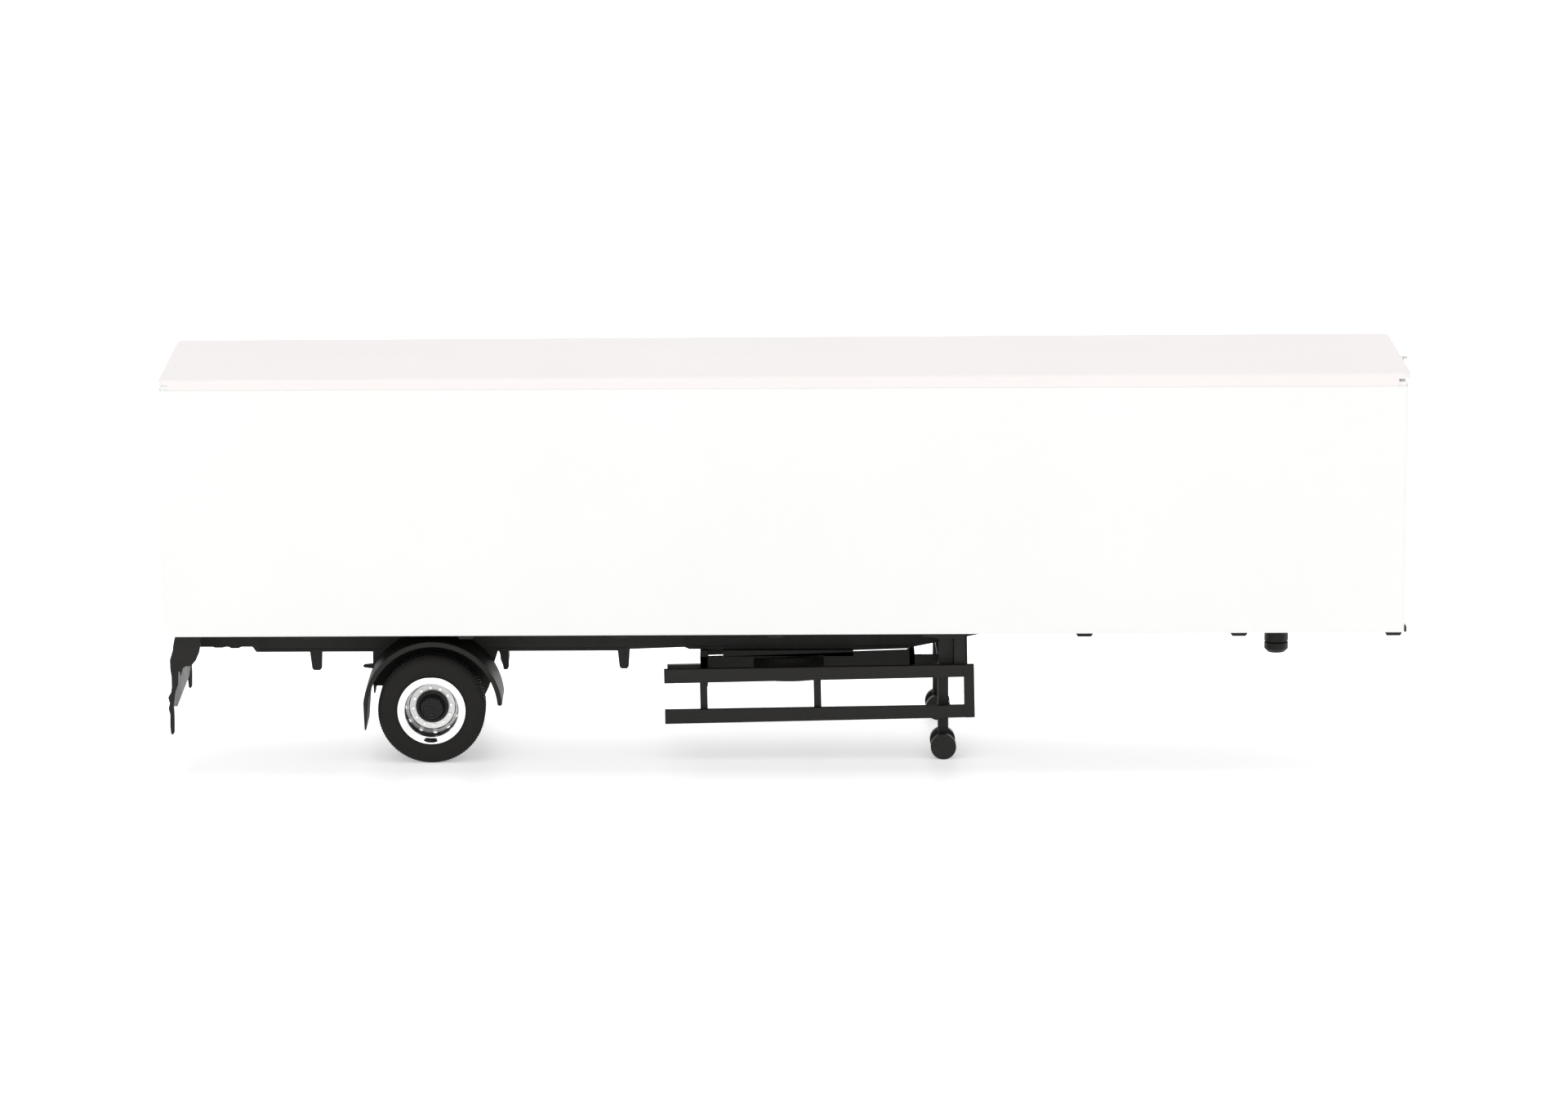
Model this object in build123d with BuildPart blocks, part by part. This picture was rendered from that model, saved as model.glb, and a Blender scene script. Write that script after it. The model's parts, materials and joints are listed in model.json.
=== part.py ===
# Box semi-trailer, a 1:87 plastic scale model standing on its wheels and landing gear
# Millimetres. X runs forward to the kingpin, Y to the trailer's left, Z up.
# The origin is on the ground, at the middle of the whole model's length and width.
# A station is a distance forward of the lid's rear edge, a drop is a depth below the walls' foot.

import os
from math import cos, radians, sin, sqrt

from build123d import *

os.makedirs("parts", exist_ok=True)

# Wheels and axle
wheel_radius = 6.19
tyre_width = 4.60
tyre_inset = 0.45            # tyre's face, inside the box's side
tyre_shoulder = 0.60
tyre_bead = 0.18             # the sidewall bulges by this much between rim and shoulder
rim_radius = 3.93
rim_lip = 0.14
rim_dish = 2.70              # depth of the disc behind the tyre's face
rim_wall = 0.35
rim_step = 0.66              # depth of the step in the dish
rim_step_outer = 3.28
rim_step_inner = 3.09
disc_radius = 2.90
disc_thick = 0.60
hub_radius = 1.88
hub_flange = 0.40
hub_cap_radius = 1.25
hub_cap_reach = 1.50
hub_edge = 0.20
nut_circle_radius = 2.125
nut_radius = 0.17
nut_count = 12
nut_height = 0.16
shaft_radius = 0.80
wheel_station = 30.78

# Mudguards
guard_gap = 1.31             # free height between tyre and mudguard
guard_thick = 0.55
guard_inset = 0.50
guard_lead = 0.14            # the arc's middle, forward of the axle
guard_play = 0.05            # to the rail's outer face
guard_front_rise = 0.56      # the arc's ends, above the axle
guard_rear_rise = 0.91
guard_flap_drop = 2.22       # the flap's tip, below the axle
guard_flap_tip = 0.18
guard_tip_share = 0.40       # rounding of the arc's front end, of its thickness

# Box body
box_length = 142.62          # over the end walls at their foot
box_width = 29.30            # over the side walls
wall_height = 28.72
wall_thick = 1.00
wall_corner = 0.50           # rounding of the upright corners
wall_edge = 0.15             # rounding of the side walls' long edges
end_draft = 0.16             # each end wall leans out by this much at the top
deck_thick = 1.10
deck_drop = 0.10             # the deck shows this much below the walls
body_clearance = 0.81        # free height between mudguard and walls

# Roof lid
lid_rear_overhang = 0.02     # beyond the end walls' tops
lid_front_overhang = 0.25
lid_side_overhang = 0.05
lid_lip = 0.67
lid_groove = 0.53            # shadow gap between wall and lid at the rear
lid_front_lift = 0.32        # the lid sits this much higher at the front
lid_corner = 1.10
lid_edge = 0.22
lid_plug_depth = 1.80
lid_plug_play = 0.06
lid_shell = 0.80
lid_foot_inset = 0.12        # feet along both sides, that stand on the side walls
lid_foot_width = 0.60
end_cap_width = 0.85         # black bars that show in the groove
end_cap_height = 0.45
end_cap_inset = 0.30

# Front clip, a strap up the front wall with a small tab in front of the lid
clip_reach = 0.87            # stands proud of the lid's front edge
clip_width = 2.00
clip_strap = 0.50            # the strap's front face, in front of the lid's edge
clip_neck_width = 0.60
clip_tab_width = 0.90
clip_tab_thick = 0.24
clip_tab_drop = 0.43         # the tab's top below the lid's top
sill_height = 0.90
sill_thick = 0.26
sill_inset = 0.35

# Rear doors, moulded in a pocket so that nothing stands proud of the wall
door_frame = 1.10            # width of the rim around the leaves
door_depth = 0.30            # the leaves lie this deep
door_seal = 0.55             # raised strip where the leaves meet
hinge_count = 4
hinge_width = 2.20
hinge_height = 0.80
hinge_relief = 0.16
knuckle_radius = 0.26
lock_bar_radius = 0.24
lock_bar_places = (1.60, 8.20)   # from the seal
lock_cam_size = 0.90
lock_guide_count = 3
lock_guide_width = 1.10
lock_guide_height = 0.45
handle_length = 4.20
handle_height = 0.40
handle_place = 7.60          # above the leaf's foot

# Chassis rails
rail_face_y = 6.40           # outer face, from the centre line
rail_thick = 1.00
rail_web_set_in = 0.12       # the web lies behind the flanges
rail_flange = 0.28
rail_rear_drop = 2.85
rail_drop = 3.45
rail_waist_drop = 3.06
rail_mid_drop = 3.30
rail_neck_drop = 1.20
rail_neck_fall = 0.48        # the sloping part ends this much below the neck
rail_pad = 0.10              # two pads under the rear part
rail_pad_deep = 0.17
rail_deep_start = 10.20      # stations of the deepest part and of the middle part
rail_deep_end = 53.55
rail_deep_step = 0.18
rail_mid_start = 60.40
rail_mid_end = 85.60
rail_web_margin = 0.40       # from the ends of a part to its web
rail_front_set_back = 1.20   # behind the front wall
rail_seam_width = 0.26
lug_thick = 0.80             # hanging lugs of the rails and the block
lug_root = 0.30
slat_count = 8
slat_rear_set_in = 16.92     # first and last slat, from the end walls' outer faces
slat_front_set_in = 1.24
slat_width = 1.60
slat_depth = 0.30
slat_inset = 0.30
slat_foot_width = 1.95
slat_foot_base = 1.50
slat_foot_length = 3.00

# Kingpin and its plate
kingpin_set_back = 13.62     # behind the front wall
kingpin_radius = 1.40
kingpin_reach = 3.93         # below the plate
kingpin_tip_radius = 1.00
kingpin_tip_chamfer = 0.42
kingpin_groove_reach = 2.68
kingpin_groove_half = 0.12
kingpin_groove_depth = 0.10
kingpin_head_radius = 2.50
kingpin_collar_radius = 1.90  # the collar fills the hole in the plate
kingpin_play = 0.02
plate_thick = 0.60
plate_length = 24.0
plate_corner = 1.00

# Suspension block
block_back = 7.08            # behind the axle
block_front = 7.45
block_drop = 7.50
block_slope = 2.60           # length of the sloping front
block_slope_rise = 2.20
block_nose = 0.60
block_pocket_wall = 1.00
block_pocket_half_width = 3.90
block_roof = 1.20
bearing_play = 0.05
bearing_y = 5.20             # middle of each bearing lug
bearing_thick = 1.60
bearing_radius = 1.60

# Side guards
side_guard_inset = 1.35
side_guard_station = 57.70
side_guard_length = 35.75
side_guard_drop = 10.71      # underside of the lower bar at its rear end
side_guard_tilt = 1.08       # degrees, nose up
side_bar_height = 1.60
side_bar_front_height = 1.38
side_bar_thick = 0.80
side_bar_pitch = 4.77
end_plate_length = 1.20
end_plate_relief = 0.12
end_plate_corner = 0.25
guard_post_width = 0.85
guard_post_thick = 0.80
guard_post_places = (4.52, 17.65)
guard_post_foot = 0.45       # the posts start this far up behind the lower bar
guard_arm_drop = 6.45        # arm from the first post to the spare carrier
guard_arm_height = 0.80

# Spare wheel carrier
carrier_station = 61.80
carrier_length = 24.90
carrier_half_width = 7.40
carrier_panel_thick = 0.60
carrier_height = 2.70
carrier_drop = 6.75          # underside at its rear end
carrier_tilt = 1.70          # degrees, nose up
window_start = 6.20
window_length = 8.15
window_sill = 0.90
window_rim = 0.30
neck_start = 2.60
neck_length = 15.10
riser_width = 0.82
riser_depth = 0.80
tongue_top_drop = 3.95
tongue_thick = 0.80
spare_drop = 7.45            # underside of the spare tyre
spare_width = 3.40
spare_shoulder = 0.45
spare_station = 72.05
spare_stud_radius = 0.60
spare_play = 0.05
spare_dish = 1.80

# Landing legs
leg_station = 89.83
leg_inset = 3.85
leg_tube = 1.66
leg_tube_lead = 0.30         # the outer tube's middle, forward of the inner tube's
leg_tube_drop = 5.45
leg_inner_tube = 1.20
foot_radius = 1.47
foot_thick = 1.00
foot_outer_inset = 1.45
foot_inner_inset = 5.25
foot_pin_radius = 0.40
bracket_station = 91.05
bracket_length = 1.25
bracket_drop = 4.85
shelf_station = 88.90
shelf_thick = 0.55

# Rear supports, lamp board and underride bar
support_inset = 1.25
support_thick = 0.80
bar_station = 0.79           # rear face of both
bar_thick = 0.30
bar_drop = 9.40
bar_tall = 2.20
bar_corner_length = 4.00     # the bar's lower corners are cut
bar_corner_rise = 0.90

# Heights and places that follow
guard_outer_radius = wheel_radius + guard_gap + guard_thick
wall_foot_z = wheel_radius + guard_outer_radius + body_clearance
wall_top_z = wall_foot_z + wall_height
deck_z = wall_foot_z - deck_drop
rail_top_z = deck_z - slat_depth
rail_neck_z = wall_foot_z - rail_neck_drop
rail_z = wall_foot_z - rail_drop
half_width = box_width / 2
inner_half_width = half_width - wall_thick
lid_length = box_length + 2 * end_draft + lid_rear_overhang + lid_front_overhang
lid_width = box_width + 2 * lid_side_overhang
rear_x = -(lid_length + clip_reach) / 2
rear_wall_x = rear_x + lid_rear_overhang + end_draft
front_wall_x = rear_wall_x + box_length
lid_front_x = rear_x + lid_length
wheel_x = rear_x + wheel_station
side_guard_y = half_width - side_guard_inset


def keep(piece, name):
    # labels a finished piece and writes it to its own file
    piece.part.label = name
    export_step(piece.part, f"parts/{name}.step")


def outline(rows):
    # closed side view from rows of station and drop, in the sketch's own plane
    Polygon(*[(rear_x + station, wall_foot_z - drop) for station, drop in rows], align=None)


def end_profile(outer_x, inward):
    # side view of an end wall, which leans out towards the roof
    Polygon(
        (outer_x, wall_foot_z),
        (outer_x - inward * end_draft, wall_top_z),
        (outer_x - inward * (end_draft - wall_thick), wall_top_z),
        (outer_x + inward * wall_thick, wall_foot_z),
        align=None,
    )


# Side walls, with rounded upright corners and softer long edges
with BuildPart() as side_wall_right:
    with BuildSketch(Plane.XZ.offset(half_width)):
        with BuildLine():
            Polyline(
                (rear_wall_x, wall_foot_z),
                (rear_wall_x - end_draft, wall_top_z),
                (front_wall_x + end_draft, wall_top_z),
                (front_wall_x, wall_foot_z),
                close=True,
            )
        make_face()
    extrude(amount=-wall_thick)
    outer_edges = side_wall_right.faces().sort_by(Axis.Y)[0].edges()
    fillet(outer_edges.filter_by(Axis.X, reverse=True), radius=wall_corner)
    outer_edges = side_wall_right.faces().sort_by(Axis.Y)[0].edges()
    fillet(outer_edges.filter_by(Axis.X), radius=wall_edge)
keep(side_wall_right, "side_wall_right")

with BuildPart() as side_wall_left:
    mirror(side_wall_right.part, about=Plane.XZ)
keep(side_wall_left, "side_wall_left")

# Front wall, between the side walls
with BuildPart() as front_wall:
    with BuildSketch(Plane.XZ):
        end_profile(front_wall_x, -1)
    extrude(amount=inner_half_width, both=True)
keep(front_wall, "front_wall")

# Rear wall: a pocket for each door leaf, then hinges, locking bars, guides and handles inside it.
# The wall's outer face is its own plane, with X to the trailer's right and Y up the wall.
wall_rise = sqrt(wall_height * wall_height + end_draft * end_draft)
rear_face = Plane(
    origin=(rear_wall_x, 0, wall_foot_z),
    x_dir=(0, -1, 0),
    z_dir=(-wall_height, 0, -end_draft),
)
leaf_floor = rear_face.offset(-door_depth)
leaf_width = inner_half_width - door_frame - door_seal / 2
leaf_height = wall_rise - 2 * door_frame
leaf_middle_y = wall_rise / 2
leaf_places = [(side * (door_seal + leaf_width) / 2, leaf_middle_y) for side in (-1, 1)]
hinge_step = leaf_height / hinge_count
hinge_ys = [door_frame + hinge_step * (row + 0.5) for row in range(hinge_count)]
guide_step = leaf_height / lock_guide_count
guide_ys = [door_frame + guide_step * (row + 0.5) for row in range(lock_guide_count)]
leaf_outer_x = door_seal / 2 + leaf_width
bar_xs = [side * (door_seal / 2 + place) for place in lock_bar_places for side in (-1, 1)]
with BuildPart() as rear_wall:
    with BuildSketch(Plane.XZ):
        end_profile(rear_wall_x, 1)
    extrude(amount=inner_half_width, both=True)
    with BuildSketch(rear_face):
        with Locations(*leaf_places):
            Rectangle(leaf_width, leaf_height)
    extrude(amount=-door_depth, mode=Mode.SUBTRACT)
    with BuildSketch(leaf_floor):
        for side in (-1, 1):
            with Locations(*[(side * (leaf_outer_x - hinge_width / 2), y) for y in hinge_ys]):
                Rectangle(hinge_width, hinge_height)
        with Locations(*[(x, y) for x in bar_xs for y in guide_ys]):
            Rectangle(lock_guide_width, lock_guide_height)
        with Locations(*[(x, door_frame + lock_cam_size / 2) for x in bar_xs]):
            Rectangle(lock_cam_size, lock_cam_size)
        with Locations(*[(x, wall_rise - door_frame - lock_cam_size / 2) for x in bar_xs]):
            Rectangle(lock_cam_size, lock_cam_size)
        for place in lock_bar_places:
            for side in (-1, 1):
                with Locations((side * (door_seal / 2 + place + handle_length / 2), handle_place)):
                    Rectangle(handle_length, handle_height)
    extrude(amount=hinge_relief)
    with BuildSketch(Plane(origin=leaf_floor.from_local_coords((0, door_frame, 0)), x_dir=(0, -1, 0),
                           z_dir=leaf_floor.y_dir)):
        with Locations(*[(x, 0) for x in bar_xs]):
            Circle(lock_bar_radius)
    extrude(amount=leaf_height)
    for y in hinge_ys:
        knuckle_base = leaf_floor.from_local_coords((0, y - hinge_height / 2, 0))
        with BuildSketch(Plane(origin=knuckle_base, x_dir=(0, -1, 0), z_dir=leaf_floor.y_dir)):
            with Locations(*[(side * (leaf_outer_x - knuckle_radius), 0) for side in (-1, 1)]):
                Circle(knuckle_radius)
        extrude(amount=hinge_height)
keep(rear_wall, "rear_wall")

# Cargo deck, between the walls and a little below them
with BuildPart() as cargo_deck:
    with BuildSketch(Plane.XY.offset(deck_z)):
        with Locations(((rear_wall_x + front_wall_x) / 2, 0)):
            Rectangle(box_length - 2 * wall_thick, 2 * inner_half_width)
    extrude(amount=deck_thick)
keep(cargo_deck, "cargo_deck")


def lid_foot_z(x):
    # middle of the lid's lip at a place along the box, where a foot ends inside the lid
    return wall_top_z + lid_groove + lid_lip / 2 + lid_front_lift * (x - rear_x) / lid_length


# Roof lid, a shallow tray turned over, tilted up slightly at the front, on two long feet
lid_plane = Plane(
    origin=(rear_x, 0, wall_top_z + lid_groove),
    x_dir=(lid_length, 0, lid_front_lift),
    z_dir=(-lid_front_lift, 0, lid_length),
)
foot_rear_x = rear_wall_x - end_draft + end_cap_inset + end_cap_width
foot_front_x = front_wall_x + end_draft - end_cap_inset - end_cap_width
plug_length = box_length - 2 * wall_thick - 2 * lid_plug_play
plug_width = 2 * (inner_half_width - lid_plug_play)
with BuildPart() as roof_lid:
    with BuildSketch(lid_plane):
        with Locations((lid_length / 2, 0)):
            RectangleRounded(lid_length, lid_width, lid_corner)
    extrude(amount=lid_lip)
    fillet(roof_lid.faces().sort_by(Axis.Z)[-1].edges(), radius=lid_edge)
    with BuildSketch(lid_plane):
        with Locations((rear_wall_x - rear_x + box_length / 2, 0)):
            Rectangle(plug_length, plug_width)
            Rectangle(plug_length - 2 * lid_shell, plug_width - 2 * lid_shell, mode=Mode.SUBTRACT)
    extrude(amount=-lid_plug_depth)
    for side in (-1, 1):
        with BuildSketch(Plane.XZ.offset(side * (half_width - lid_foot_inset))):
            Polygon(
                (foot_rear_x, wall_top_z),
                (foot_front_x, wall_top_z),
                (foot_front_x, lid_foot_z(foot_front_x)),
                (foot_rear_x, lid_foot_z(foot_rear_x)),
                align=None,
            )
        extrude(amount=-side * lid_foot_width)
keep(roof_lid, "roof_lid")

# Black bars across both ends, on the walls' tops and under the lid
cap_half_width = half_width - end_cap_inset
cap_rows = (
    # name, outer face of the bar, direction inward
    ("end_cap_rear", rear_wall_x - end_draft + end_cap_inset, 1),
    ("end_cap_front", front_wall_x + end_draft - end_cap_inset, -1),
)
for cap_name, cap_face_x, inward in cap_rows:
    with BuildPart() as end_cap:
        with BuildSketch(Plane.XY.offset(wall_top_z)):
            with Locations((cap_face_x + inward * end_cap_width / 2, 0)):
                Rectangle(end_cap_width, 2 * cap_half_width)
        extrude(amount=end_cap_height)
    keep(end_cap, cap_name)

# Front clip: sill, strap up the wall, neck in front of the lid and the tab on top
tab_top_z = wall_top_z + lid_groove + lid_front_lift + lid_lip - clip_tab_drop
strap_face_x = lid_front_x + clip_strap
sill_top_z = wall_foot_z + sill_height
with BuildPart() as front_clip:
    with BuildSketch(Plane.XZ):
        with BuildLine():
            Polyline(
                (front_wall_x, wall_foot_z),
                (front_wall_x + end_draft, wall_top_z),
                (strap_face_x, wall_top_z),
                (strap_face_x, wall_foot_z),
                close=True,
            )
        make_face()
    extrude(amount=clip_width / 2, both=True)
    with BuildSketch(Plane.XZ):
        with BuildLine():
            Polyline(
                (lid_front_x, wall_top_z - clip_strap),
                (lid_front_x, tab_top_z),
                (strap_face_x, tab_top_z),
                (strap_face_x, wall_top_z - clip_strap),
                close=True,
            )
        make_face()
    extrude(amount=clip_neck_width / 2, both=True)
    with BuildSketch(Plane.XY.offset(tab_top_z - clip_tab_thick)):
        with Locations((lid_front_x + clip_reach / 2, 0)):
            Rectangle(clip_reach, clip_tab_width)
    extrude(amount=clip_tab_thick)
    with BuildSketch(Plane.XZ):
        with BuildLine():
            Polyline(
                (front_wall_x, wall_foot_z),
                (front_wall_x + end_draft * sill_height / wall_height, sill_top_z),
                (front_wall_x + sill_thick, sill_top_z - sill_thick),
                (front_wall_x + sill_thick, wall_foot_z),
                close=True,
            )
        make_face()
    extrude(amount=half_width - sill_inset, both=True)
keep(front_clip, "front_clip")

# Chassis rails: lower edge from a table, a web set in behind the flanges, a seam and hanging lugs
rail_rear_rows = (
    # station, drop of the lower edge
    (1.60, rail_rear_drop),
    (5.10, rail_rear_drop),
    (5.40, rail_rear_drop + rail_pad),
    (6.25, rail_rear_drop + rail_pad),
    (6.60, rail_rear_drop),
    (6.95, rail_rear_drop),
    (7.25, rail_rear_drop + rail_pad_deep),
    (8.10, rail_rear_drop + rail_pad_deep),
    (8.45, rail_rear_drop),
    (9.70, rail_rear_drop),
    (rail_deep_start, rail_drop),
    (rail_deep_end, rail_drop),
    (rail_deep_end, rail_drop - rail_deep_step),
    (59.90, rail_waist_drop),
    (rail_mid_start, rail_mid_drop),
    (rail_mid_end, rail_mid_drop),
    (94.00, rail_neck_drop + rail_neck_fall),
    (96.50, rail_neck_drop),
)
rail_web_top = wall_foot_z - rail_top_z + rail_flange
rail_deep_web = (rail_deep_start + rail_web_margin, rail_deep_end - rail_web_margin)
rail_mid_web = (rail_mid_start + rail_web_margin, rail_mid_end - rail_web_margin)
rail_cut_rows = (
    # start, end, top drop and bottom drop of a shallow cut in the outer face
    (1.60, 9.95, 0.00, rail_drop),
    (*rail_deep_web, rail_web_top, rail_drop - rail_flange),
    (rail_mid_start - rail_seam_width, rail_mid_start, 0.00, rail_drop),
    (*rail_mid_web, rail_web_top, rail_mid_drop - rail_flange),
)
lug_rows = (
    # rear edge and front edge at the rail, rear edge and front edge at the tip, drop of the tip
    (16.40, 17.82, 16.64, 17.75, 5.63),
    (52.15, rail_deep_end, 52.35, 53.42, 5.58),
)
lug_tip_chamfer = 0.22
fin_rows = (
    # station, drop
    (38.40, rail_drop - lug_root),
    (38.55, 4.50),
    (38.80, 5.10),
    (39.25, 5.66),
    (39.48, 5.35),
    (39.48, rail_drop - lug_root),
)
rail_front_x = front_wall_x - rail_front_set_back
rail_foot = [(rear_x + station, wall_foot_z - drop) for station, drop in rail_rear_rows]
with BuildPart() as chassis_rail_right:
    with BuildSketch(Plane.XZ.offset(rail_face_y)):
        with BuildLine():
            Polyline(
                (rail_foot[0][0], rail_top_z),
                *rail_foot,
                (rail_front_x, rail_neck_z),
                (rail_front_x, rail_top_z),
                close=True,
            )
        make_face()
    extrude(amount=-rail_thick)
    for start, end, top, bottom in rail_cut_rows:
        with BuildSketch(Plane.XZ.offset(rail_face_y)):
            outline(((start, top), (end, top), (end, bottom), (start, bottom)))
        extrude(amount=-rail_web_set_in, mode=Mode.SUBTRACT)
    for rear_root, front_root, rear_tip, front_tip, tip in lug_rows:
        with BuildSketch(Plane.XZ.offset(rail_face_y)):
            outline((
                (rear_root, rail_drop - lug_root),
                (rear_root, rail_drop),
                (rear_tip, tip - lug_tip_chamfer),
                (rear_tip + lug_tip_chamfer, tip),
                (front_tip - lug_tip_chamfer, tip),
                (front_tip, tip - lug_tip_chamfer),
                (front_root, rail_drop),
                (front_root, rail_drop - lug_root),
            ))
        extrude(amount=-lug_thick)
    with BuildSketch(Plane.XZ.offset(rail_face_y)):
        outline(fin_rows)
    extrude(amount=-lug_thick)
keep(chassis_rail_right, "chassis_rail_right")

with BuildPart() as chassis_rail_left:
    mirror(chassis_rail_right.part, about=Plane.XZ)
keep(chassis_rail_left, "chassis_rail_left")

# Cross slats between the rails' tops and the deck, with a wider tapered foot at each end
slat_half_length = half_width - slat_inset
slat_run = box_length - slat_rear_set_in - slat_front_set_in
slat_pitch = slat_run / (slat_count - 1)
with BuildPart() as cross_slats:
    for slat in range(slat_count):
        slat_x = rear_wall_x + slat_rear_set_in + slat * slat_pitch
        with BuildSketch(Plane.XY.offset(rail_top_z)):
            with Locations((slat_x, 0)):
                Rectangle(slat_width, 2 * slat_half_length)
        extrude(amount=slat_depth)
        for side in (-1, 1):
            with BuildSketch(Plane.XZ.offset(side * slat_half_length)):
                with BuildLine():
                    Polyline(
                        (slat_x - slat_foot_base / 2, rail_top_z),
                        (slat_x - slat_foot_width / 2, deck_z),
                        (slat_x + slat_foot_width / 2, deck_z),
                        (slat_x + slat_foot_base / 2, rail_top_z),
                        close=True,
                    )
                make_face()
            extrude(amount=-side * slat_foot_length)
keep(cross_slats, "cross_slats")

# Kingpin plate between the rails, flush with their underside
kingpin_x = front_wall_x - kingpin_set_back
plate_width = 2 * (rail_face_y - rail_thick)
with BuildPart() as kingpin_plate:
    with BuildSketch(Plane.XY.offset(rail_neck_z)):
        with Locations((kingpin_x, 0)):
            RectangleRounded(plate_length, plate_width, plate_corner)
            Circle(kingpin_collar_radius + kingpin_play, mode=Mode.SUBTRACT)
    extrude(amount=plate_thick)
keep(kingpin_plate, "kingpin_plate")

# Kingpin: its head lies on the plate, a collar fills the plate's hole, the shank hangs below
plate_top_z = rail_neck_z + plate_thick
kingpin_tip_z = rail_neck_z - kingpin_reach
groove_z = rail_neck_z - kingpin_groove_reach
groove_radius = kingpin_radius - kingpin_groove_depth
with BuildPart() as kingpin:
    with BuildSketch(Plane.XZ):
        with BuildLine():
            Polyline(
                (kingpin_x, rail_top_z),
                (kingpin_x + kingpin_head_radius, rail_top_z),
                (kingpin_x + kingpin_head_radius, plate_top_z),
                (kingpin_x + kingpin_collar_radius, plate_top_z),
                (kingpin_x + kingpin_collar_radius, rail_neck_z),
                (kingpin_x + kingpin_radius, rail_neck_z),
                (kingpin_x + kingpin_radius, groove_z + kingpin_groove_half),
                (kingpin_x + groove_radius, groove_z),
                (kingpin_x + kingpin_radius, groove_z - kingpin_groove_half),
                (kingpin_x + kingpin_radius, kingpin_tip_z + kingpin_tip_chamfer),
                (kingpin_x + kingpin_tip_radius, kingpin_tip_z),
                (kingpin_x, kingpin_tip_z),
                close=True,
            )
        make_face()
    revolve(axis=Axis((kingpin_x, 0, 0), (0, 0, 1)))
keep(kingpin, "kingpin")

# Suspension block between the rails' undersides and the axle, open below, with two bearing lugs
block_z = wall_foot_z - block_drop
block_rear_x = wheel_x - block_back
block_front_x = wheel_x + block_front
stub_rows = (
    # distance behind the block, drop
    (-lug_root, 4.95),
    (0.95, 5.06),
    (1.18, 5.20),
    (0.95, 5.34),
    (-lug_root, 5.50),
)
stub = [(block_rear_x - back, wall_foot_z - drop) for back, drop in stub_rows]
with BuildPart() as suspension_block:
    with BuildSketch(Plane.XZ):
        with BuildLine():
            Polyline(
                (block_rear_x, rail_z),
                (block_rear_x, block_z),
                (block_front_x - block_slope, block_z),
                (block_front_x - block_nose, block_z + block_slope_rise),
                (block_front_x, rail_z),
                close=True,
            )
        make_face()
    extrude(amount=rail_face_y, both=True)
    pocket_rear_x = block_rear_x + block_pocket_wall
    pocket_front_x = block_front_x - block_slope - block_pocket_wall
    with BuildSketch(Plane.XY.offset(block_z)):
        with Locations(((pocket_rear_x + pocket_front_x) / 2, 0)):
            Rectangle(pocket_front_x - pocket_rear_x, 2 * block_pocket_half_width)
    extrude(amount=rail_z - block_roof - block_z, mode=Mode.SUBTRACT)
    for side in (-1, 1):
        with BuildSketch(Plane.XZ.offset(side * bearing_y)):
            with Locations((wheel_x, wheel_radius)):
                Circle(bearing_radius)
            with Locations((wheel_x, (wheel_radius + block_z) / 2)):
                Rectangle(2 * bearing_radius, block_z - wheel_radius)
        extrude(amount=bearing_thick / 2, both=True)
        with BuildSketch(Plane.XZ.offset(side * rail_face_y)):
            Polygon(*stub, align=None)
        extrude(amount=-side * lug_thick)
    with BuildSketch(Plane.XZ):
        with Locations((wheel_x, wheel_radius)):
            Circle(shaft_radius + bearing_play)
    extrude(amount=rail_face_y, both=True, mode=Mode.SUBTRACT)
keep(suspension_block, "suspension_block")

# Mudguards, an arc over each wheel with a flap that thins down behind it
guard_x = wheel_x + guard_lead
guard_inner_radius = guard_outer_radius - guard_thick
guard_front_z = wheel_radius + guard_front_rise
guard_rear_z = wheel_radius + guard_rear_rise
flap_z = wheel_radius - guard_flap_drop
flap_x = guard_x - guard_outer_radius + guard_flap_tip


def arc_reach(radius, rise):
    # how far from the arc's middle a point on it lies, at a height above the axle
    return sqrt(radius * radius - rise * rise)


front_outer = (guard_x + arc_reach(guard_outer_radius, guard_front_rise), guard_front_z)
front_inner = (guard_x + arc_reach(guard_inner_radius, guard_front_rise), guard_front_z)
rear_outer = (guard_x - arc_reach(guard_outer_radius, guard_rear_rise), guard_rear_z)
rear_inner = (guard_x - arc_reach(guard_inner_radius, guard_rear_rise), guard_rear_z)
guard_outer_y = half_width - guard_inset
with BuildPart() as mudguard_right:
    with BuildSketch(Plane.XZ.offset(guard_outer_y)):
        with BuildLine():
            ThreePointArc(rear_outer, (guard_x, wheel_radius + guard_outer_radius), front_outer)
            Line(front_outer, front_inner)
            ThreePointArc(front_inner, (guard_x, wheel_radius + guard_inner_radius), rear_inner)
            Polyline(rear_inner, (flap_x + guard_flap_tip, flap_z), (flap_x, flap_z), rear_outer)
        make_face()
    extrude(amount=rail_face_y + guard_play - guard_outer_y)
    tip_edges = mudguard_right.edges().filter_by(Axis.Y).sort_by(Axis.X)[-2:]
    fillet(tip_edges, radius=guard_tip_share * guard_thick)
keep(mudguard_right, "mudguard_right")

with BuildPart() as mudguard_left:
    mirror(mudguard_right.part, about=Plane.XZ)
keep(mudguard_left, "mudguard_left")

# Axle shaft
tyre_face_y = half_width - tyre_inset
tyre_back_y = tyre_face_y - tyre_width
disc_y = tyre_face_y - rim_dish
shaft_half_length = disc_y - disc_thick / 2
with BuildPart() as axle_shaft:
    with BuildSketch(Plane.XZ):
        with Locations((wheel_x, wheel_radius)):
            Circle(shaft_radius)
    extrude(amount=shaft_half_length, both=True)
keep(axle_shaft, "axle_shaft")

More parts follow.
